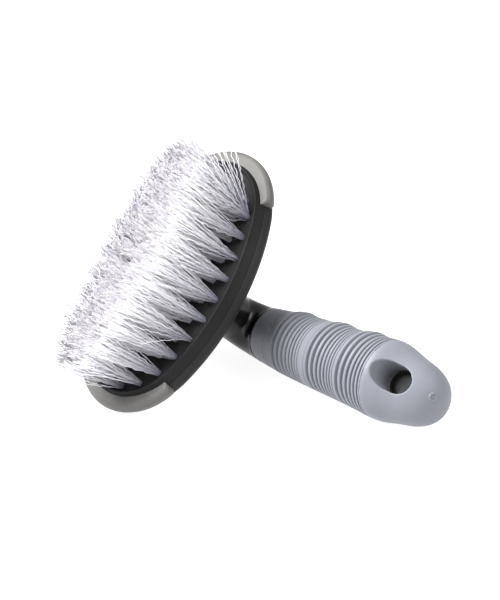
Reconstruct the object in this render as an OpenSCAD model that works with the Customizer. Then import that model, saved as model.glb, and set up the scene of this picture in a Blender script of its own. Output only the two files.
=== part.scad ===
// Wheel brush lying on its side: oval head with two soft bumpers, crimped
// bristle tufts, a bent neck and a ribbed soft grip with a hanging hole.
// Millimetres, +Z up. Every sub-part is drawn in the brush's own axes
// (X along the head, Y towards the handle end, Z out of the bristle face,
// origin at the middle of the face) and laid down on the floor by rest().

/* [Node] */
// Sub-part to build, or all

/* [Head] */
// Half length of the face, centre to ridge
face_half_len = 60; // [57:1:64]
// Half width of the face, centre to ridge
face_half_wid = 37; // [35:1:40]
// Radius of the round ends of the face
end_r = 31.4; // [30:0.2:33]
// Height of the ridge above the face
ridge_h = 1; // [0.6:0.1:1.4]
// Width of the ridge
ridge_w = 1.3; // [1:0.1:2]
// Total thickness of the head, ridge to back
head_t = 13.5; // [13.5:0.5:16]

/* [Bumpers] */
// Bulge of a bumper beyond the ridge at the tip of the head
bumper_bulge = 8; // [6:0.5:9]
// Half angle of the end arc wrapped by a bumper
bumper_half_angle = 58; // [52:1:64]

/* [Tufts] */
// Diameter of a tuft hole
hole_d = 3.3; // [3:0.1:3.5]
// Depth of a tuft hole below the ridge top
hole_depth = 7.5; // [6.5:0.5:7.5]
// Height of the trimmed tips above the ridge top
tip_h = 31; // [26:1:36]
// Share of the sideways position kept by the tips, tufts lean inwards
tip_gather = 0.53; // [0.53:0.01:0.7]
// Share of the lengthwise position kept by the tips
tip_spread = 1.03; // [1:0.01:1.06]

/* [Neck] */
// Radius of the neck where it leaves the head
neck_root_r = 10; // [9:0.5:11]
// Radius of the neck in the bend
neck_r = 12; // [11:0.5:12.5]
// Distance of the neck leg from the middle of the head
neck_y = 8; // [6:1:10]
// Radius of the bend centre line
bend_r = 15; // [14.5:0.5:17]
// Turn of the neck from head to grip
bend_angle = 96.2; // [92:0.2:98]

/* [Grip] */
// Length of the grip along its axis
grip_len = 105; // [104:1:107]
// Radius of the grip at the neck end
grip_front_r = 13.6; // [13.2:0.1:14]
// Spacing of the ribs
rib_pitch = 2.4; // [2.2:0.1:2.5]
// Depth of the grooves between the ribs
rib_depth = 1; // [0.6:0.1:1.2]
// Distance of the hanging hole from the neck end
eye_h = 88; // [87:0.2:89]
// Radius of the hanging hole in the core
eye_r = 5.5; // [5:0.1:6]

/* [Resting pose] */
// Roll about the handle direction
rest_roll = 44.14; // [42:0.01:46]
// Pitch about the head's long direction
rest_pitch = 1.39; // [0:0.01:3]

/* [Hidden] */
$fn = 96;

black_matte = [0.13, 0.13, 0.135];
black_gloss = [0.035, 0.033, 0.03];
grip_grey = [0.56, 0.58, 0.62];
bumper_grey = [0.56, 0.55, 0.53];
bristle_white = [0.93, 0.92, 0.95];
steel = [0.62, 0.62, 0.62];

// Shift that sets the bumper and grip on the floor and centres the footprint
rest_shift = [-4.96, -45.509, 52.999];

// Four-centre oval: end circles on the X axis, side arcs from the far side
end_c = face_half_len - end_r;
arc_gap = face_half_wid - end_r;
side_d = (end_c * end_c - arc_gap * arc_gap) / (2 * arc_gap);
side_r = face_half_wid + side_d;
side_a = atan(end_c / side_d);

// Rim of the head as [distance outside the ridge, height]
seam_z = -5;
seam_t = 1.65;
block_rim = [
    [-ridge_w, -ridge_h], [-ridge_w, -0.35], [-ridge_w + 0.35, 0],
    [-0.4, 0], [0, -0.4], [seam_t, seam_z]
];
shell_rim = [
    [seam_t, seam_z], [2.8, -9.2], [2.3, -10.6], [1, -head_t + 1.6],
    [-1.4, -head_t + 0.6], [-5, -head_t]
];
plug_t = -3.7;
plug_z = -9.5;
pocket_gap = 0.1;

// Bumper: outer surface about a centre moved out from the end circle
bumper_shift = 5;
bumper_r = end_r + bumper_bulge - bumper_shift;
bumper_top = -2.6;
bumper_bottom = -9.6;
bumper_round = 3;

// Tuft rings as [offset from the ridge, number of tufts, phase]
rings = [[-3.8, 28, 0.69], [-10.9, 24, 0.42], [-18.4, 20, 0.24], [-26.3, 14, 0.5]];
centre_count = 5;
centre_pitch = 10.5;
tuft_r = hole_d / 2 - 0.05;
tuft_tip_r = 1.72;
tuft_knee_z = -0.2;
tuft_neck_z = -1.6;
tuft_neck_r = 1.1;
anchor_h = 1.5;
anchor_w = 0.5;
anchor_len = hole_d - 0.1;
tuft_foot_z = -hole_depth + anchor_h + 0.1;
// The tuft field stops short of the ridge at the end away from the floor
short_end_x = -38;
short_end_share = 0.7;

// Grip axis
leg_z = -41;
bend_c = [neck_y + bend_r, leg_z];
grip_o = [0, bend_c[0] + bend_r * sin(bend_angle - 90),
          bend_c[1] - bend_r * cos(bend_angle - 90)];
grip_tilt = bend_angle - 90;
rod_r = 8;
joint_lap = 2;
rod_len = eye_h - 9;
ring_r = 10.2;
ring_half_t = 4;
mouth_r = 6.6;
mouth_half = 1.3;
tenon_r = 7;
floor_t = head_t + plug_z - pocket_gap;

// Screws
screw_spots = [[28, 9.5], [-28, 9.5], [28, -9.5], [-28, -9.5]];
screw_r = 1.5;
screw_head_r = 3;
screw_head_t = 1.8;
screw_tip_z = -7.9;
neck_screw_r = 2.5;
neck_screw_head_r = 8.6;
neck_screw_head_t = 1.2;
neck_screw_len = 24;

// Lays the brush down on its side
module rest() {
    translate(rest_shift) rotate([rest_pitch, 0, 0]) rotate([0, rest_roll, 0]) children();
}

// Solid oval plate with the given rim outline, top to bottom
module plate(rim) {
    top = rim[0][1];
    bottom = rim[len(rim) - 1][1];
    for (s = [0, 180]) rotate(s) {
        translate([end_c, 0, 0]) rotate(side_a - 90)
            rotate_extrude(angle = 180 - 2 * side_a)
            polygon(concat([[0, top]], [for (p = rim) [end_r + p[0], p[1]]], [[0, bottom]]));
        translate([0, -side_d, 0]) rotate(90 - side_a)
            rotate_extrude(angle = 2 * side_a)
            polygon(concat([[side_d - 8, top]], [for (p = rim) [side_r + p[0], p[1]]],
                           [[side_d - 8, bottom]]));
    }
}

// Point on one quarter of an oval of arc radii re and rs, s along it
function quarter_pos(re, rs, s) =
    let (le = re * (90 - side_a) * PI / 180)
    s <= le
        ? [end_c + re * cos(s / re * 180 / PI), re * sin(s / re * 180 / PI)]
        : let (a = 90 - side_a + (s - le) / rs * 180 / PI)
          [rs * cos(a), -side_d + rs * sin(a)];

// Position k of n round the oval at the given offset from the ridge
function ring_pos(off, k, n, phase) =
    let (
        re = end_r + off,
        rs = side_r + off,
        q = (re * (90 - side_a) + rs * side_a) * PI / 180,
        s = ((k + phase) / n) * 4 * q,
        i = floor(s / q),
        r = s - i * q,
        p = quarter_pos(re, rs, i % 2 == 0 ? r : q - r)
    )
    [p[0] * (i == 1 || i == 2 ? -1 : 1), p[1] * (i >= 2 ? -1 : 1)];

// Pulls the tufts in at the short end of the field
function in_field(p) =
    p[0] < short_end_x ? [short_end_x + (p[0] - short_end_x) * short_end_share, p[1]] : p;

function ring_spots(i) =
    [for (k = [0:rings[i][1] - 1]) in_field(ring_pos(rings[i][0], k, rings[i][1], rings[i][2]))];

centre_spots = [for (k = [0:centre_count - 1])
    in_field([(k - (centre_count - 1) / 2) * centre_pitch, 0])];
all_spots = concat(ring_spots(0), ring_spots(1), ring_spots(2), ring_spots(3), centre_spots);

// One tuft: shank in its hole, a narrow neck, then a bundle leaning to its tip
module tuft(p) {
    tip = [p[0] * tip_spread, p[1] * tip_gather, tip_h];
    d = tip - [p[0], p[1], tuft_knee_z];
    l = norm(d);
    translate([p[0], p[1], tuft_foot_z]) {
        cylinder(r = tuft_r, h = tuft_neck_z - tuft_foot_z);
        cylinder(r = tuft_neck_r, h = tuft_knee_z + 0.9 - tuft_foot_z);
    }
    translate([p[0], p[1], tuft_knee_z]) rotate([0, acos(d[2] / l), atan2(d[1], d[0])])
        cylinder(r1 = tuft_r - 0.1, r2 = tuft_tip_r, h = l);
}

module tufts(spots) {
    color(bristle_white) rest() for (p = spots) tuft(p);
}

// Flat wire staples at the bottom of the tuft holes
module anchors(spots) {
    color(steel) rest() for (p = spots)
        translate([p[0] - anchor_len / 2, p[1] - anchor_w / 2, -hole_depth])
            cube([anchor_len, anchor_w, anchor_h]);
}

module bristle_block() {
    color(black_matte) rest() difference() {
        union() {
            plate(block_rim);
            plate([[plug_t, seam_z], [plug_t, plug_z]]);
        }
        for (p = all_spots)
            translate([p[0], p[1], -hole_depth]) cylinder(d = hole_d, h = hole_depth + 1);
        for (p = screw_spots)
            translate([p[0], p[1], plug_z - 1]) cylinder(r = screw_r, h = screw_tip_z - plug_z + 1);
        translate([0, neck_y, plug_z - 1])
            cylinder(r = neck_screw_head_r + 0.4, h = neck_screw_head_t + 1.3);
    }
}

module back_shell() {
    color(black_matte) rest() difference() {
        plate(shell_rim);
        plate([[plug_t + pocket_gap, seam_z + 1], [plug_t + pocket_gap, plug_z - pocket_gap]]);
        for (p = screw_spots) translate([p[0], p[1], -head_t - 1]) {
            cylinder(r = screw_r + 0.1, h = head_t);
            cylinder(r = screw_head_r + 0.1, h = screw_head_t + 1);
        }
        translate([0, neck_y, -head_t - 1]) cylinder(r = tenon_r, h = head_t);
    }
}

module bumper(side) {
    color(bumper_grey) rest() difference() {
        intersection() {
            translate([side * (end_c + bumper_shift), 0, 0]) rotate_extrude() {
                translate([0, bumper_bottom])
                    square([bumper_r - bumper_round, bumper_top - bumper_bottom]);
                translate([0, bumper_bottom + bumper_round])
                    square([bumper_r, bumper_top - bumper_bottom - 2 * bumper_round]);
                for (z = [bumper_top - bumper_round, bumper_bottom + bumper_round])
                    translate([bumper_r - bumper_round, z]) circle(r = bumper_round);
            }
            translate([side * end_c, 0, bumper_bottom - 1])
                rotate((side > 0 ? 0 : 180) - bumper_half_angle)
                rotate_extrude(angle = 2 * bumper_half_angle) translate([end_r - 5, 0])
                square([2 * bumper_bulge + 5, bumper_top - bumper_bottom + 2]);
        }
        plate(block_rim);
        plate(shell_rim);
    }
}

// Grip axis frame: Z along the grip from the neck end
module along_grip() {
    translate(grip_o) rotate([-90 + grip_tilt, 0, 0]) children();
}

module handle_core() {
    color(black_gloss) rest() {
        difference() {
            union() {
                translate([0, neck_y, -head_t]) cylinder(r = tenon_r, h = floor_t);
                translate([0, neck_y, leg_z])
                    cylinder(r1 = neck_r, r2 = neck_root_r, h = -head_t - leg_z);
                translate([0, neck_y, leg_z - joint_lap]) cylinder(r = rod_r, h = 2 * joint_lap);
                translate([0, bend_c[0], bend_c[1]]) rotate([0, 90, 0]) rotate([0, 0, -90])
                    rotate_extrude(angle = bend_angle) translate([bend_r, 0]) circle(r = neck_r);
                along_grip() {
                    translate([0, 0, -joint_lap]) cylinder(r = rod_r, h = rod_len + joint_lap);
                    translate([0, 0, eye_h]) rotate([90, 0, 0])
                        cylinder(r = ring_r, h = 2 * ring_half_t, center = true);
                }
            }
            translate([0, neck_y, -head_t + floor_t - neck_screw_len])
                cylinder(r = neck_screw_r, h = neck_screw_len + 1);
            along_grip() translate([0, 0, eye_h]) rotate([90, 0, 0])
                cylinder(r = eye_r, h = 4 * ring_half_t, center = true);
        }
    }
}

// Radius of the smooth grip at height h, straight between stations
stations = [
    [0, grip_front_r], [10.3, 14.6], [17, 15.3], [38, 16.3], [58, 17], [74, 18.1], [80, 17.9]
];
// Smooth end, about an axis that drops away from the bristle side
end_h = 76;
end_drop = 19;
end_stations = [
    [2, 15.5], [5.4, 16], [10.9, 15.1], [16.3, 13.9], [21.8, 12], [26, 9], [28.6, 5.4], [30, 1.5]
];
function grip_r(h) = lookup(h, stations);

// Groups of grooves as [first, count]
groups = [[17.4, 7], [41, 7], [61.5, 7]];
groove_w = 1.1;
function groove(h) = [
    [grip_r(h), h], [grip_r(h) - rib_depth, h + 0.25],
    [grip_r(h) - rib_depth, h + groove_w - 0.25], [grip_r(h + groove_w), h + groove_w]
];
collar_grooves = [9.2, 11.6];
groove_pts = concat(
    [for (h = collar_grooves) each groove(h)],
    [for (g = groups) for (k = [0:g[1] - 1]) each groove(g[0] + k * rib_pitch)]
);
// Stations of the smooth end are drawn for a grip this long past end_h
end_drawn_len = 29;
end_scale = (grip_len - end_h) / end_drawn_len;
shoulder_h = 79.8;

module grip_sleeve() {
    color(grip_grey) rest() along_grip() difference() {
        union() {
            rotate_extrude() polygon(concat(
                [[0, 0], [grip_front_r - 0.9, 0], [grip_front_r, 0.9]],
                groove_pts, [[17.6, shoulder_h], [16.4, shoulder_h + 1.6], [0, shoulder_h + 1.6]]));
            translate([0, 0, end_h]) rotate([-end_drop, 0, 0]) rotate_extrude() polygon(concat(
                [[0, end_stations[0][0]]],
                [for (e = end_stations) [e[1], e[0] * end_scale]],
                [[0, end_stations[len(end_stations) - 1][0] * end_scale]]));
        }
        translate([0, 0, -1]) cylinder(r = rod_r, h = rod_len + 1);
        translate([0, 0, eye_h]) rotate([90, 0, 0]) {
            cylinder(r = ring_r, h = 2 * ring_half_t, center = true);
            for (s = [-1, 1]) translate([0, s * mouth_half, 0])
                cylinder(r = mouth_r, h = 50, center = true);
            cube([2 * mouth_r, 2 * mouth_half, 50], center = true);
        }
    }
}

module head_screws() {
    color(steel) rest() for (p = screw_spots) translate([p[0], p[1], -head_t]) {
        cylinder(r = screw_head_r, h = screw_head_t);
        cylinder(r = screw_r, h = head_t + screw_tip_z);
    }
}

module neck_screw() {
    color(steel) rest() translate([0, neck_y, -head_t + floor_t]) {
        cylinder(r = neck_screw_head_r, h = neck_screw_head_t);
        translate([0, 0, -neck_screw_len + 0.5]) cylinder(r = neck_screw_r, h = neck_screw_len);
    }
}

bristle_block();
back_shell();
bumper(-1);  // bumper_upper
bumper(1);  // bumper_lower
handle_core();
grip_sleeve();
tufts(ring_spots(0));  // tufts_outer_ring
tufts(ring_spots(1));  // tufts_second_ring
tufts(ring_spots(2));  // tufts_third_ring
tufts(ring_spots(3));  // tufts_inner_ring
tufts(centre_spots);  // tufts_centre_row
anchors(ring_spots(0));  // anchors_outer_ring
anchors(ring_spots(1));  // anchors_second_ring
anchors(ring_spots(2));  // anchors_third_ring
anchors(ring_spots(3));  // anchors_inner_ring
anchors(centre_spots);  // anchors_centre_row
head_screws();
neck_screw();
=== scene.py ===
import math

import bmesh
import bpy
import numpy as np
from mathutils import Matrix, Vector


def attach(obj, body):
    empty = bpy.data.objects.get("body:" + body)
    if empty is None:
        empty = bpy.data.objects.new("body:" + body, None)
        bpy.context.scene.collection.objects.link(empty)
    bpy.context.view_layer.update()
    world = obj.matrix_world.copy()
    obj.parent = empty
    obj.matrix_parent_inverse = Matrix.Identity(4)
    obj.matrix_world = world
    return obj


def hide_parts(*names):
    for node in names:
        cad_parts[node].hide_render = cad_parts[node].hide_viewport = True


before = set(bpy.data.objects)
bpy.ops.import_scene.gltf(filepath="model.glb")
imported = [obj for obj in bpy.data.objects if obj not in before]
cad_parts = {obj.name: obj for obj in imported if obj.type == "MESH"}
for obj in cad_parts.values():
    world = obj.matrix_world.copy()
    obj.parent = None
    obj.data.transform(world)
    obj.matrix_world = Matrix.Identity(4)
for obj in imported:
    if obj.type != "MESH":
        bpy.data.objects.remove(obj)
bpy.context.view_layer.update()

MM = 0.001
# The brush's own axes: X along the head, Y to the handle end, Z out of the face
ROLL, PITCH = math.radians(44.14), math.radians(1.39)
SHIFT = Vector((-4.96, -45.509, 52.999))
LAY = Matrix.Translation(SHIFT * MM) @ Matrix.Rotation(PITCH, 4, "X") @ Matrix.Rotation(ROLL, 4, "Y")
LAY_MM = LAY @ Matrix.Scale(MM, 4)

# Four-centre oval of the head: end circles on the X axis, side arcs from the far side
HALF_LEN, HALF_WID, END_R = 60.0, 37.0, 31.4
END_C = HALF_LEN - END_R
ARC_GAP = HALF_WID - END_R
SIDE_D = (END_C ** 2 - ARC_GAP ** 2) / (2 * ARC_GAP)
SIDE_R = HALF_WID + SIDE_D
SIDE_A = math.atan(END_C / SIDE_D)

# Neck leg, bend and grip axis
NECK_Y, BEND_R, BEND_A, LEG_Z = 8.0, 15.0, math.radians(96.2), -41.0
BEND_C = (NECK_Y + BEND_R, LEG_Z)
TILT = BEND_A - math.pi / 2
GRIP_O = Vector((0, BEND_C[0] + BEND_R * math.sin(TILT), BEND_C[1] - BEND_R * math.cos(TILT)))
GRIP_AX = Vector((0, math.cos(TILT), math.sin(TILT)))
GRIP_UP = Vector((0, -math.sin(TILT), math.cos(TILT)))
X = Vector((1, 0, 0))
# Height of the hanging hole along the grip
EYE_H = 88.0


# ---------------------------------------------------------------- meshes
def add_mesh(name, verts, faces, mat, sharp=None):
    """Makes a smooth-shaded object from vertices in brush millimetres."""
    me = bpy.data.meshes.new(name)
    me.from_pydata([tuple(v) for v in verts], [], [tuple(f) for f in faces])
    me.transform(LAY_MM)
    me.validate()
    me.materials.append(mat)
    me.polygons.foreach_set("use_smooth", [True] * len(me.polygons))
    if sharp is not None:
        me.set_sharp_from_angle(angle=math.radians(sharp))
    ob = bpy.data.objects.new(name, me)
    bpy.context.scene.collection.objects.link(ob)
    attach(ob, "root")
    return ob


def circle_angles(n):
    return [2 * math.pi * k / n for k in range(n)]


def grid_faces(n, m, close_n, close_m):
    """Quads of n rows of m points, closed round either way."""
    out = []
    for i in range(n if close_n else n - 1):
        for j in range(m if close_m else m - 1):
            a, b = i * m + j, i * m + (j + 1) % m
            c, d = ((i + 1) % n) * m + (j + 1) % m, ((i + 1) % n) * m + j
            out.append((a, d, c, b))
    return out


def oval_samples(n_end=48, n_side=40):
    """Centre, direction and radius round the ridge oval, anticlockwise."""
    out = []
    half_end = math.pi / 2 - SIDE_A
    for side in (0, 1):
        turn = math.pi * side
        flip = 1 if side == 0 else -1
        for k in range(n_end):
            a = -half_end + 2 * half_end * k / n_end + turn
            out.append((flip * END_C, 0.0, math.cos(a), math.sin(a), END_R))
        for k in range(n_side):
            a = math.pi / 2 - SIDE_A + 2 * SIDE_A * k / n_side + turn
            out.append((0.0, -flip * SIDE_D, math.cos(a), math.sin(a), SIDE_R))
    return out


def oval_ring(t, z, samples):
    """Closed outline at a distance t outside the ridge and a height z."""
    return [(cx + (r + t) * ux, cy + (r + t) * uy, z) for cx, cy, ux, uy, r in samples]


def oval_sweep(name, profile, mat, cap_first=False, cap_last=False):
    """Carries a profile of (distance outside the ridge, height) round the oval."""
    samples = oval_samples()
    n, m = len(samples), len(profile)
    rings = [oval_ring(t, z, samples) for t, z in profile]
    verts = [rings[j][i] for i in range(n) for j in range(m)]
    faces = grid_faces(n, m, True, False)
    if cap_first:
        faces.append(tuple(i * m for i in range(n)))
    if cap_last:
        faces.append(tuple(i * m + m - 1 for i in reversed(range(n))))
    return add_mesh(name, verts, faces, mat, sharp=40)


def arc_pts(cx, cy, r, a0, a1, n):
    """Points on an arc from a0 to a1 degrees."""
    return [(cx + r * math.cos(math.radians(a0 + (a1 - a0) * k / n)),
             cy + r * math.sin(math.radians(a0 + (a1 - a0) * k / n))) for k in range(n + 1)]


# ---------------------------------------------------------------- materials
def new_mat(name):
    mat = bpy.data.materials.new(name)
    mat.use_nodes = True
    nt = mat.node_tree
    return mat, nt, nt.nodes["Principled BSDF"]


def noise(nt, scale, detail, rough=0.55):
    tc = nt.nodes.new("ShaderNodeTexCoord")
    n = nt.nodes.new("ShaderNodeTexNoise")
    n.inputs["Scale"].default_value = scale
    n.inputs["Detail"].default_value = detail
    n.inputs["Roughness"].default_value = rough
    nt.links.new(tc.outputs["Object"], n.inputs["Vector"])
    return n


def two_tone(nt, bsdf, fac, low, high):
    ramp = nt.nodes.new("ShaderNodeValToRGB")
    ramp.color_ramp.elements[0].color = (*low, 1)
    ramp.color_ramp.elements[1].color = (*high, 1)
    ramp.color_ramp.elements[0].position = 0.3
    ramp.color_ramp.elements[1].position = 0.7
    nt.links.new(fac, ramp.inputs["Fac"])
    nt.links.new(ramp.outputs["Color"], bsdf.inputs["Base Color"])


def bump(nt, bsdf, height, strength, dist):
    b = nt.nodes.new("ShaderNodeBump")
    b.inputs["Strength"].default_value = strength
    b.inputs["Distance"].default_value = dist
    nt.links.new(height, b.inputs["Height"])
    nt.links.new(b.outputs["Normal"], bsdf.inputs["Normal"])


def rough_range(nt, bsdf, fac, lo, hi):
    mr = nt.nodes.new("ShaderNodeMapRange")
    mr.inputs["To Min"].default_value = lo
    mr.inputs["To Max"].default_value = hi
    nt.links.new(fac, mr.inputs["Value"])
    nt.links.new(mr.outputs["Result"], bsdf.inputs["Roughness"])


def plastic(name, low, high, rough, grain, spec=0.5):
    """Moulded material: faint blotches in colour and gloss, fine grain in relief."""
    mat, nt, bsdf = new_mat(name)
    n1 = noise(nt, 60.0, 3.0)
    n2 = noise(nt, grain, 6.0, 0.7)
    two_tone(nt, bsdf, n1.outputs["Fac"], low, high)
    rough_range(nt, bsdf, n2.outputs["Fac"], rough - 0.06, rough + 0.06)
    bump(nt, bsdf, n2.outputs["Fac"], 0.25, 0.00012)
    bsdf.inputs["Specular IOR Level"].default_value = spec
    return mat


head_mat = plastic("head_black", (0.0065, 0.0065, 0.007), (0.010, 0.010, 0.0105), 0.6, 2600.0, 0.16)
rim_mat = plastic("rim_black", (0.006, 0.006, 0.0065), (0.009, 0.009, 0.0095), 0.48, 1800.0, 0.22)
neck_mat = plastic("neck_black", (0.0025, 0.0023, 0.002), (0.0035, 0.0033, 0.003), 0.24, 700.0, 0.35)
grip_mat = plastic("grip_grey", (0.150, 0.156, 0.179), (0.170, 0.176, 0.200), 0.48, 2200.0, 0.32)
bumper_mat = plastic("bumper_grey", (0.078, 0.075, 0.071), (0.096, 0.092, 0.087), 0.5, 2200.0, 0.3)
steel_mat = plastic("steel", (0.42, 0.42, 0.43), (0.56, 0.56, 0.57), 0.3, 900.0)
steel_mat.node_tree.nodes["Principled BSDF"].inputs["Metallic"].default_value = 1.0


def bristle_material(name, base, mid, tip):
    """Crimped filament with painted shade that grows towards the root, and slight random speckle along
    each strand.
    """
    mat, nt, bsdf = new_mat(name)
    up = (LAY.to_3x3() @ Vector((0, 0, 1))).normalized()
    foot_level = up.dot(LAY @ Vector((0, 0, 0)))
    strand_rise = 0.032
    tc = nt.nodes.new("ShaderNodeTexCoord")
    level = nt.nodes.new("ShaderNodeVectorMath")
    level.operation = "DOT_PRODUCT"
    level.inputs[1].default_value = tuple(up)
    nt.links.new(tc.outputs["Object"], level.inputs[0])
    # Painted shade: height share along the strand, so the colour runs from dark at the roots to light at
    # the trimmed tips
    share = nt.nodes.new("ShaderNodeMapRange")
    share.inputs["From Min"].default_value = foot_level
    share.inputs["From Max"].default_value = foot_level + strand_rise
    nt.links.new(level.outputs["Value"], share.inputs["Value"])
    # Painted shade ramp plus random noise speckle along the strands
    shade_and_mottle = nt.nodes.new("ShaderNodeMath")
    shade_and_mottle.operation = "MULTIPLY_ADD"
    shade_and_mottle.inputs[1].default_value = 0.16
    nt.links.new(noise(nt, 900.0, 2.0).outputs["Fac"], shade_and_mottle.inputs[0])
    nt.links.new(share.outputs["Result"], shade_and_mottle.inputs[2])
    ramp = nt.nodes.new("ShaderNodeValToRGB")
    stops = ramp.color_ramp.elements
    stops[0].position = 0.08
    stops[0].color = (*base, 1)
    stops[1].position = 0.95
    stops[1].color = (*tip, 1)
    stops.new(0.45).color = (*mid, 1)
    nt.links.new(shade_and_mottle.outputs["Value"], ramp.inputs["Fac"])
    nt.links.new(ramp.outputs["Color"], bsdf.inputs["Base Color"])
    bsdf.inputs["Roughness"].default_value = 0.42
    bsdf.inputs["Specular IOR Level"].default_value = 0.4
    return mat


# Lit and shaded copies of one white filament: painted shade makes the near tufts' roots darkest and the
# far tufts grey all over, while the inner tufts get the lightest copy
near_shaded_bristle_mat = bristle_material(
    "bristle_near_painted_shade", (0.17, 0.17, 0.215), (0.54, 0.535, 0.58), (0.90, 0.885, 0.92))
inner_mat = bristle_material(
    "bristle_inner", (0.42, 0.42, 0.47), (0.84, 0.83, 0.865), (0.94, 0.925, 0.96))
far_shaded_bristle_mat = bristle_material(
    "bristle_far_painted_shade", (0.36, 0.36, 0.38), (0.50, 0.495, 0.51), (0.64, 0.63, 0.65))

# ---------------------------------------------------------------- head
ridge_face = [(-4.0, -1.0), (-1.55, -1.0), (-1.38, -0.93), (-1.3, -0.78), (-1.28, -0.45)]
ridge_top = arc_pts(-0.68, -0.6, 0.6, 180, 0, 10)
wall = [(-0.05, -0.9), (0.35, -2.0), (0.8, -3.1), (1.25, -4.1), (1.52, -4.7), (1.56, -4.9)]
wall += [(1.4, -4.98), (0.7, -5.0)]
block = oval_sweep("face_plate", ridge_face + ridge_top + wall, head_mat, cap_first=True)
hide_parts("bristle_block")

# Faint round moulding mark between two tufts of the outer row
MARK_X, MARK_Y = 4.0, 31.5
mark_profile = [(2.5, -1.05), (2.62, -0.86), (2.85, -0.8), (3.08, -0.86), (3.2, -1.05)]
mark_verts = [(MARK_X + r * math.cos(a), MARK_Y + r * math.sin(a), z)
              for a in circle_angles(48) for r, z in mark_profile]
mark = add_mesh("mould_mark", mark_verts, grid_faces(48, len(mark_profile), True, True), head_mat)

shell_profile = [(0.7, -5.01), (1.42, -5.02), (1.62, -5.08), (1.74, -5.25), (1.88, -5.6)] + [
    (2.15, -6.4), (2.5, -7.5), (2.75, -8.5), (2.75, -9.4), (2.5, -10.3), (2.0, -11.1),
    (1.3, -11.8), (0.3, -12.4), (-1.0, -12.8), (-2.6, -13.1), (-4.4, -13.25), (-6.0, -13.3)]
shell = oval_sweep("shell", shell_profile, rim_mat, cap_last=True)
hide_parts("back_shell")


def bumper(side, node, name):
    """Soft pad round one end of the head, thickest at the tip and rounded at both ends."""
    n, half = 64, math.radians(58.5)
    tip_bulge, bulge_loss = 7.3, 4.5
    rc = 2.6
    verts, m = [], 0
    for i in range(n + 1):
        u = -1 + 2 * i / n
        a = half * u
        edge = min(1.0, (1 - abs(u)) * 22)
        ease = 0.72 + 0.28 * math.sqrt(max(0.0, 1 - (1 - edge) ** 2))
        bulge = (tip_bulge - bulge_loss * (1 - math.cos(a))) * ease
        top = -2.5 - 0.5 * (1 - ease)
        bot = -9.7 + 0.6 * (1 - ease)
        prof = [(0.75, top), (bulge - rc, top)]
        prof += arc_pts(bulge - rc, top - rc, rc, 80, 10, 7)
        prof += [(bulge, top - rc - 0.4), (bulge - 0.1, (top + bot) / 2 - 0.4)]
        prof += [(bulge - 0.3, bot + rc + 0.3)]
        prof += arc_pts(bulge - rc - 0.5, bot + rc, rc, -10, -80, 7)
        prof += [(2.2, bot), (2.5, -8.4), (1.4, -5.0)]
        m = len(prof)
        for t, z in prof:
            r = END_R + t
            verts.append((side * (END_C + r * math.cos(a)), r * math.sin(a) * side, z))
    faces = grid_faces(n + 1, m, False, True)
    faces.append(tuple(range(m)))
    faces.append(tuple(n * m + k for k in reversed(range(m))))
    ob = add_mesh(name, verts, faces, bumper_mat, sharp=50)
    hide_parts(node)


bumper(-1, "bumper_upper", "bumper_pad_upper")
bumper(1, "bumper_lower", "bumper_pad_lower")


# ---------------------------------------------------------------- neck
def tube(name, path, mat):
    """Round tube with capped ends through a list of (centre, axis u, axis v, radius)."""
    sides = 72
    verts = [c + u * (r * math.cos(a)) + v * (r * math.sin(a))
             for c, u, v, r in path for a in circle_angles(sides)]
    faces = grid_faces(len(path), sides, False, True)
    faces.append(tuple(reversed(range(sides))))
    faces.append(tuple((len(path) - 1) * sides + k for k in range(sides)))
    return add_mesh(name, verts, faces, mat)


# Straight leg as (height, radius), flared where it meets the head
LEG = [(-12.8, 12.6), (-13.4, 11.9), (-14.2, 11.2), (-15.5, 10.6), (-17.5, 10.2),
       (-22, 10.1), (-28, 10.3), (-34, 10.7), (-38, 11.1)]
BEND_STEPS = 32
path = [(Vector((0, NECK_Y, z)), X, Vector((0, 1, 0)), r) for z, r in LEG]
for k in range(BEND_STEPS + 1):
    a = BEND_A * k / BEND_STEPS
    c = Vector((0, BEND_C[0] - BEND_R * math.cos(a), BEND_C[1] - BEND_R * math.sin(a)))
    v = Vector((0, math.cos(a), math.sin(a)))
    path.append((c, X, v, 11.3 + 2.1 * (k / BEND_STEPS) ** 1.2))
path.append((GRIP_O + GRIP_AX * 1.5, X, -GRIP_UP, 13.3))
path.append((GRIP_O + GRIP_AX * 3.0, X, -GRIP_UP, 12.6))
neck = tube("neck", path, neck_mat)
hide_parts("handle_core")

# ---------------------------------------------------------------- grip
# Smooth radius of the grip as (height, radius)
STATIONS = [(0, 13.6), (10.3, 14.6), (17, 15.3), (38, 16.3), (58, 17.0), (70, 17.7), (76, 18.1),
            (79.4, 17.9), (82, 17.4), (86, 16.0), (90, 14.9), (94, 13.8), (97.5, 12.1), (100, 10.1),
            (101.6, 7.9), (102.8, 5.2), (103.4, 2.6), (103.6, 0.0)]
# How far the smooth end drops away from the bristle side, at the same heights
DROP = [(78, 0.0), (79.4, 0.25), (82, 1.5), (86, 3.1), (90, 4.5), (94, 5.7), (98, 6.7), (101, 7.4),
        (103.6, 8.1)]


def grip_r(h):
    """Smooth radius at height h, a monotone curve through the stations."""
    hs, rs = zip(*STATIONS)
    k = max(0, min(len(hs) - 2, int(np.searchsorted(hs, h)) - 1))
    t = (h - hs[k]) / (hs[k + 1] - hs[k])

    def slope(i):
        if i <= 0 or i >= len(hs) - 1:
            j = min(max(i, 1), len(hs) - 1)
            return (rs[j] - rs[j - 1]) / (hs[j] - hs[j - 1])
        return (rs[i + 1] - rs[i - 1]) / (hs[i + 1] - hs[i - 1])

    d = hs[k + 1] - hs[k]
    m0, m1 = slope(k) * d, slope(k + 1) * d
    return ((2 * t ** 3 - 3 * t ** 2 + 1) * rs[k] + (t ** 3 - 2 * t ** 2 + t) * m0
            + (-2 * t ** 3 + 3 * t ** 2) * rs[k + 1] + (t ** 3 - t ** 2) * m1)


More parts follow.
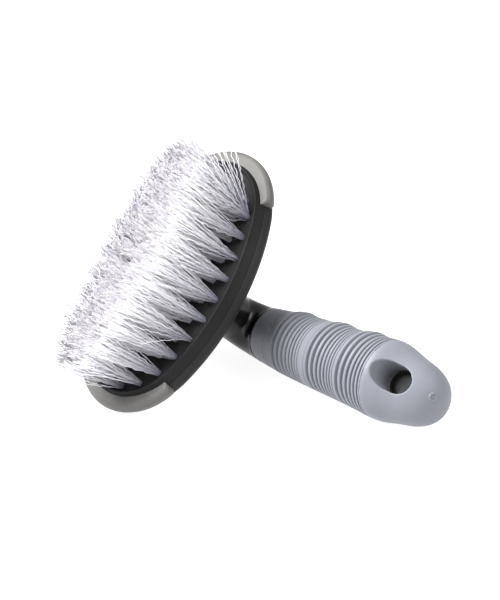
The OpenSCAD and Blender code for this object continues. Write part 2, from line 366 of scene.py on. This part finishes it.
# Grooves as (height of the middle, width, depth): two fine ones by the collar,
# then three groups that start wide and deep and die away into fine lines
END_H = 77.3
GROUPS = ((18.1, 3.55), (43.0, 3.3), (62.5, 3.4))
GROOVES = [(10.4, 0.7, 0.4), (12.3, 0.6, 0.3), (40.2, 0.9, 0.4)]
for first, pitch in GROUPS:
    mid = first
    for k in range(8):
        fade = 1 - (k / 8.5) ** 1.6
        if mid < END_H - 0.6:
            GROOVES.append((mid, pitch * (0.72 - 0.03 * k), 0.2 + 1.9 * fade))
        mid += pitch
        pitch *= 0.885
GROOVES.sort()


def hump(h):
    """Low swelling at the start of each group, fullest on one flank."""
    rise = sum(math.exp(-((h - first - 1.0) / 4.5) ** 2) for first, _ in GROUPS)
    return 1.1 * rise * min(1, (END_H - h) / 4)


def ribbed_r(h):
    """Radius over the ribs: the smooth radius less the grooves."""
    r = grip_r(h) - 0.15
    for mid, width, depth in GROOVES:
        u = abs(h - mid) / (width / 2)
        if u < 1:
            r -= depth * (0.5 + 0.5 * math.cos(math.pi * u)) ** 0.8
    return r


def at_grip(h, r, a):
    drop = float(np.interp(h, [p[0] for p in DROP], [p[1] for p in DROP]))
    return GRIP_O + GRIP_AX * h + X * (r * math.cos(a)) + GRIP_UP * (r * math.sin(a) - drop)


SIDES_ROUND = 144
BORE_R = 8.2
prof = [(0.0, BORE_R), (0.0, 12.5), (0.15, 13.05), (0.5, 13.4), (1.0, 13.62)]
prof += [(x, ribbed_r(x)) for x in np.arange(1.6, END_H - 0.05, 0.16)]
prof += [(END_H, grip_r(END_H) - 0.15), (END_H, BORE_R)]
verts = []
for h, r in prof:
    swell = hump(h) if r > 9 else 0
    for a in circle_angles(SIDES_ROUND):
        verts.append(at_grip(h, r + swell * (0.5 - 0.5 * math.cos(a)), a))
grip = add_mesh("grip_ribs", verts, grid_faces(len(prof), SIDES_ROUND, False, True), grip_mat, sharp=55)
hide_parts("grip_sleeve")

# Smooth end with the hanging hole, cut and then softened
TIP_OF_GRIP = 103.55
end_heights = END_H + 0.1 + (TIP_OF_GRIP - END_H - 0.1) * np.sin(np.linspace(0, math.pi / 2, 56))
end_prof = [(END_H + 0.02, 0.01), (END_H + 0.02, grip_r(END_H) - 0.1)]
end_prof += [(x, grip_r(x)) for x in end_heights]
end_verts = [at_grip(h, max(r, 0.01), a) for h, r in end_prof for a in circle_angles(SIDES_ROUND)]
end_faces = grid_faces(len(end_prof), SIDES_ROUND, False, True)
end_faces.append(tuple(reversed(range(SIDES_ROUND))))
end_faces.append(tuple((len(end_prof) - 1) * SIDES_ROUND + k for k in range(SIDES_ROUND)))
grip_end = add_mesh("grip_end", end_verts, end_faces, grip_mat)
HOLE_SIDES = 72


def at_hole(along, across, depth):
    """Point about the middle of the hanging hole."""
    return GRIP_O + GRIP_AX * (EYE_H + along) + X * across + GRIP_UP * depth


def slot_ring(half, r, depth):
    """Closed outline of the slot at a depth along the hole's axis."""
    out = []
    for a in circle_angles(HOLE_SIDES):
        s = half if math.sin(a) >= 0 else -half
        out.append(at_hole(s + r * math.sin(a), r * math.cos(a), depth))
    return out


# Slot as (depth, half length of its straight sides, radius), narrowing to the middle
slot = [(30, 1.5, 7.2), (16.5, 1.5, 6.7), (12, 1.4, 6.3), (7.5, 1.2, 6.1), (2.5, 1.0, 6.0)]
slot += [(-d, half, r) for d, half, r in reversed(slot)]
cut_verts = [v for d, half, r in slot for v in slot_ring(half, r, d)]
cut_faces = grid_faces(len(slot), HOLE_SIDES, False, True)
cut_faces.append(tuple(range(HOLE_SIDES)))
cut_faces.append(tuple((len(slot) - 1) * HOLE_SIDES + k for k in reversed(range(HOLE_SIDES))))
cutter = add_mesh("cutter", cut_verts, cut_faces, grip_mat)
for ob in (grip_end, cutter):
    bm = bmesh.new()
    bm.from_mesh(ob.data)
    bmesh.ops.remove_doubles(bm, verts=bm.verts, dist=1e-7)
    bmesh.ops.recalc_face_normals(bm, faces=bm.faces)
    bm.to_mesh(ob.data)
    bm.free()


def apply_mods(ob):
    """Writes the result of an object's modifiers into its mesh."""
    dg = bpy.context.evaluated_depsgraph_get()
    me = bpy.data.meshes.new_from_object(ob.evaluated_get(dg))
    ob.modifiers.clear()
    ob.data = me


cut = grip_end.modifiers.new("hole", "BOOLEAN")
cut.object = cutter
cut.operation = "DIFFERENCE"
cut.solver = "EXACT"
even = grip_end.modifiers.new("even", "REMESH")
even.mode = "VOXEL"
even.voxel_size = 0.00042
soft = grip_end.modifiers.new("soft", "SMOOTH")
soft.factor = 0.5
soft.iterations = 5
apply_mods(grip_end)
bpy.data.objects.remove(cutter)
grip_end.data.polygons.foreach_set("use_smooth", [True] * len(grip_end.data.polygons))

# Ring inside the hole, standing in from its wall, as (radius, depth)
ring = [(8.6, 3.9), (6.0, 3.9), (5.65, 3.6), (5.5, 0.0), (5.65, -3.6), (6.0, -3.9), (8.6, -3.9)]
ring_verts = [at_hole(r * math.sin(a), r * math.cos(a), d)
              for a in circle_angles(HOLE_SIDES) for r, d in ring]
eye = add_mesh("eye_ring", ring_verts, grid_faces(HOLE_SIDES, len(ring), True, True), rim_mat, sharp=50)

# Gate mark near the middle of the blunt end, as (height above the skin, radius)
GATE_H, GATE_A = 102.3, math.radians(91)
GATE_SIDES = 32
gate_prof = [(-0.6, 2.3), (0.03, 2.1), (0.3, 1.7), (0.16, 1.25), (-0.25, 0.95), (-0.3, 0.5),
             (0.24, 0.42), (0.3, 0.01)]


def on_skin(h, a):
    return at_grip(h, grip_r(h), a)


gate_c = on_skin(GATE_H, GATE_A)
gate_x = (on_skin(GATE_H, GATE_A - 0.02) - on_skin(GATE_H, GATE_A + 0.02)).normalized()
gate_y = (on_skin(GATE_H + 0.2, GATE_A) - on_skin(GATE_H - 0.2, GATE_A)).normalized()
gate_n = gate_x.cross(gate_y).normalized()
if gate_n.dot(GRIP_UP) < 0:
    gate_n = -gate_n
gate_verts = [gate_c + gate_n * h + gate_x * (r * math.cos(a)) + gate_y * (r * math.sin(a))
              for h, r in gate_prof for a in circle_angles(GATE_SIDES)]
gate = add_mesh("gate_mark", gate_verts, grid_faces(len(gate_prof), GATE_SIDES, False, True), grip_mat)


# ---------------------------------------------------------------- tufts
def quarter_pos(re, rs, s):
    """Point at a distance s along a quarter of the oval of arc radii re and rs."""
    le = re * (math.pi / 2 - SIDE_A)
    if s <= le:
        return END_C + re * math.cos(s / re), re * math.sin(s / re)
    a = math.pi / 2 - SIDE_A + (s - le) / rs
    return rs * math.cos(a), -SIDE_D + rs * math.sin(a)


# The tuft field stops short of the ridge at the end away from the floor
SHORT_END_X, SHORT_END_SHARE = -38, 0.7


def ring_spots(off, n, phase):
    """Feet of n tufts round the oval, at an offset from the ridge."""
    re, rs = END_R + off, SIDE_R + off
    q = re * (math.pi / 2 - SIDE_A) + rs * SIDE_A
    out = []
    for k in range(n):
        s = (k + phase) / n * 4 * q
        i = int(s // q)
        r = s - i * q
        x, y = quarter_pos(re, rs, r if i % 2 == 0 else q - r)
        x *= -1 if i in (1, 2) else 1
        y *= -1 if i >= 2 else 1
        if x < SHORT_END_X:
            x = SHORT_END_X + (x - SHORT_END_X) * SHORT_END_SHARE
        out.append((x, y))
    return out


# Height of the feet and the trimmed tips, radius of a tuft at its foot
FOOT_Z, TIP_H, FOOT_R = -1.8, 31.0, 1.25
# Shares of a foot's place that its tip keeps, across and along the head, on either side
NEAR_GATHER, FAR_GATHER = 0.53, 0.38
LOW_SPREAD, HIGH_SPREAD = 1.03, 0.98
SEGS, SIDES = 21, 3


def axes_across(d):
    """Two directions square to a strand's own."""
    e1 = np.cross([0, 1.0, 0], d)
    e1 /= np.linalg.norm(e1)
    return e1, np.cross(d, e1)


def filament(r, start, end, e1, e2, inward=0.0):
    """Points round one crimped strand: a bowed, wavy three-sided tube."""
    s = np.linspace(0, 1, SEGS)
    length = np.linalg.norm(end - start)
    bow = e1 * r.normal(0, 0.9) + e2 * r.normal(0, 0.7)
    waves = length / r.uniform(4.6, 6.4)
    phase = r.random() * 2 * math.pi
    plane = r.random() * 2 * math.pi
    crimp = r.uniform(0.2, 0.45) * np.minimum(1, s * 4) * np.sin(waves * 2 * math.pi * s + phase)
    centre = start + np.outer(s, end - start) + np.outer(np.sin(math.pi * s), bow)
    centre += np.outer(crimp * math.cos(plane), e1) + np.outer(crimp * math.sin(plane), e2)
    centre -= np.outer(s - s ** 1.35, e1 * inward)
    thick = r.uniform(0.15, 0.21)
    return [centre + thick * (math.cos(plane + w) * e1 + math.sin(plane + w) * e2)
            for w in circle_angles(SIDES)]


def tuft_strands(r, x, y, count, fan, stray):
    """One tuft: strands that fan out from the foot to a trimmed, leaning tip."""
    foot = np.array([x, y, FOOT_Z])
    spread = LOW_SPREAD if x > 0 else HIGH_SPREAD
    gather = NEAR_GATHER if y > 0 else FAR_GATHER
    lean = np.array([x * spread, y * gather, TIP_H]) - foot
    length = np.linalg.norm(lean)
    d = lean / length
    e1, e2 = axes_across(d)
    out = []
    for _ in range(count):
        rad = math.sqrt(r.random())
        ang = r.random() * 2 * math.pi
        a, b = rad * math.cos(ang), rad * math.sin(ang)
        wild = r.random() < stray
        fa, fb = (fan[0] * 1.7, fan[1] * 1.9) if wild else fan
        ln = length * (1 + r.normal(0, 0.035) + (0.05 * r.random() if wild else 0))
        end = foot + d * ln + e1 * (fa * a + r.normal(0, 0.7)) + e2 * (fb * b + r.normal(0, 0.6))
        start = foot + e1 * (FOOT_R * a) + e2 * (FOOT_R * b)
        out += filament(r, start, end, e1, e2, (fa - FOOT_R) * a)
    return out


def loose_strand(r, foot, way, length):
    """A strand that stands away from its tuft."""
    d = np.array(way) / np.linalg.norm(way)
    e1, e2 = axes_across(d)
    start = np.array([foot[0], foot[1], FOOT_Z]) + e1 * r.normal(0, 0.5) + e2 * r.normal(0, 0.5)
    return filament(r, start, start + d * length, e1, e2)


def loose_fan(spot, count, seed):
    """Long strands of one worn tuft, splayed from its lean up towards the tip of the head."""
    r = np.random.default_rng(seed)
    out = []
    for k in range(count):
        u = (k + r.random()) / count
        way = (-0.66 + 0.6 * u + r.normal(0, 0.05), -0.08 - 0.3 * u + r.normal(0, 0.05), 0.78 + 0.15 * u)
        out.append((spot, way, 41 - 8 * u - 12 * r.random() ** 2))
    return out


def tuft_piece(name, spots, count, fan, seed, mat, stray=0.05, loose=()):
    """All the strands of some tufts as one mesh; loose strands are (foot, direction, length)."""
    r = np.random.default_rng(seed)
    points = []
    for x, y in spots:
        points += tuft_strands(r, x, y, count, fan, stray)
    for foot, way, length in loose:
        points += loose_strand(r, foot, way, length)
    v = np.concatenate(points)
    i, j = np.meshgrid(np.arange(SEGS - 1), np.arange(SIDES), indexing="ij")
    j2 = (j + 1) % SIDES
    a, b = j * SEGS + i, j2 * SEGS + i
    quads = np.stack([a, b, b + 1, a + 1], -1).reshape(-1, 4)
    firsts = np.arange(0, len(v), SIDES * SEGS)
    f = (quads[None, :, :] + firsts[:, None, None]).reshape(-1, 4)
    me = bpy.data.meshes.new(name)
    me.vertices.add(len(v))
    me.vertices.foreach_set("co", v.astype(np.float32).ravel())
    me.loops.add(f.size)
    me.loops.foreach_set("vertex_index", f.astype(np.int32).ravel())
    me.polygons.add(len(f))
    me.polygons.foreach_set("loop_start", np.arange(0, f.size, 4, dtype=np.int32))
    me.polygons.foreach_set("loop_total", np.full(len(f), 4, dtype=np.int32))
    me.polygons.foreach_set("use_smooth", np.ones(len(f), dtype=bool))
    me.update(calc_edges=True)
    me.transform(LAY_MM)
    me.materials.append(mat)
    ob = bpy.data.objects.new(name, me)
    bpy.context.scene.collection.objects.link(ob)
    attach(ob, "root")
    return ob


# Strands in a tuft
N = 62

outer = ring_spots(-3.8, 28, 0.69)
near = [p for p in outer if p[1] > 0]
far = [p for p in outer if p[1] <= 0]
# The worn tuft by the upper bumper, and one stray strand in every third tuft
WORN_AT = (-38, 25)
worn = min(near, key=lambda p: math.dist(p, WORN_AT))
loose = loose_fan(worn, 22, 21)
for k in range(1, len(near), 3):
    loose.append((near[k], (0.5 - 0.3 * (k % 2), -0.2, 0.8), 26.0))
outer_near = tuft_piece("bristles_outer_near", near, N, (6.6, 3.2), 11, near_shaded_bristle_mat, 0.1, loose)
tuft_piece("bristles_outer_far", far, N, (6.0, 3.4), 12, far_shaded_bristle_mat, 0.08)
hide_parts("tufts_outer_ring")

second = ring_spots(-10.9, 24, 0.42)
near = [p for p in second if p[1] > 0]
far = [p for p in second if p[1] <= 0]
second_near = tuft_piece("bristles_second_near", near, N, (5.6, 3.4), 13, inner_mat)
tuft_piece("bristles_second_far", far, N, (5.6, 3.4), 14, inner_mat)
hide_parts("tufts_second_ring")

third = tuft_piece("bristles_third", ring_spots(-18.4, 20, 0.24), N, (5.8, 3.6), 15, inner_mat)
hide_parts("tufts_third_ring")

inner = tuft_piece("bristles_inner", ring_spots(-26.3, 14, 0.5), N, (5.8, 3.8), 16, inner_mat)
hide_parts("tufts_inner_ring")

CENTRE_PITCH = 10.5
row = [((k - 2) * CENTRE_PITCH, 0.0) for k in range(5)]
centre = tuft_piece("bristles_centre", row, N, (6.0, 4.0), 17, inner_mat)
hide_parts("tufts_centre_row")

# ---------------------------------------------------------------- CAD nodes that stay
for node_name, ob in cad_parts.items():
    if node_name.startswith("anchors_") or node_name in ("head_screws", "neck_screw"):
        ob.data.materials.clear()
        ob.data.materials.append(steel_mat)

# ---------------------------------------------------------------- floor, light, camera
HALF_FLOOR = 6.0
corners = [(x * HALF_FLOOR, y * HALF_FLOOR, 0) for x, y in ((-1, -1), (1, -1), (1, 1), (-1, 1))]
floor_me = bpy.data.meshes.new("floor")
floor_me.from_pydata(corners, [], [(0, 1, 2, 3)])
floor = bpy.data.objects.new("floor", floor_me)
bpy.context.scene.collection.objects.link(floor)
floor_mat, _, bsdf = new_mat("floor")
bsdf.inputs["Base Color"].default_value = (0.35, 0.35, 0.36, 1)
bsdf.inputs["Roughness"].default_value = 0.9
bsdf.inputs["Specular IOR Level"].default_value = 0.0
bsdf.inputs["Emission Color"].default_value = (1, 1, 1, 1)
bsdf.inputs["Emission Strength"].default_value = 0.9
floor_me.materials.append(floor_mat)

world = bpy.data.worlds.new("studio")
world.use_nodes = True
world.node_tree.nodes["Background"].inputs["Color"].default_value = (1, 1, 1, 1)
world.node_tree.nodes["Background"].inputs["Strength"].default_value = 0.55
bpy.context.scene.world = world

# Camera: where it stands from the brush and how it is turned, in the brush's own axes
CAM_PLACE = Vector((68.86, 391.13, 384.80))
CAM_AZIMUTH, CAM_ELEVATION, CAM_TILT = (math.radians(a) for a in (11.801, 47.944, -53.145))
back = Vector((math.cos(CAM_ELEVATION) * math.sin(CAM_AZIMUTH),
               math.cos(CAM_ELEVATION) * math.cos(CAM_AZIMUTH), math.sin(CAM_ELEVATION)))
level = Vector((0, 0, 1)).cross(back).normalized()
upright = back.cross(level)
right = level * math.cos(CAM_TILT) + upright * math.sin(CAM_TILT)
top = back.cross(right)
cam_data = bpy.data.cameras.new("camera")
cam_data.lens = 72.0
cam_data.sensor_width = 36.0
cam_data.clip_start = 0.02
cam = bpy.data.objects.new("camera", cam_data)
bpy.context.scene.collection.objects.link(cam)
bpy.context.scene.camera = cam
cam_turn = LAY.to_3x3() @ Matrix((right, top, back)).transposed()
cam.matrix_world = Matrix.Translation(LAY_MM @ CAM_PLACE) @ cam_turn.to_4x4()


def soft_light(name, right, up, back, distance, power):
    """Square area light towards the brush, placed by its direction in the view."""
    size = 0.6
    loc = cam_turn @ Vector((right, up, back)).normalized() * distance
    light = bpy.data.lights.new(name, "AREA")
    light.shape = "RECTANGLE"
    light.size = size
    light.size_y = size
    light.energy = power
    ob = bpy.data.objects.new(name, light)
    ob.location = loc
    ob.rotation_euler = (Vector((0, 0, 0.05)) - loc).to_track_quat("-Z", "Y").to_euler()
    bpy.context.scene.collection.objects.link(ob)


# Large key above and to the left of the view, weaker fill from the right
soft_light("key", -0.65, 0.75, 0.5, 0.9, 26.5)
soft_light("fill", 0.8, 0.35, 0.6, 1.0, 5.0)
bpy.context.scene.view_settings.view_transform = "Standard"
bpy.context.scene.view_settings.look = "None"
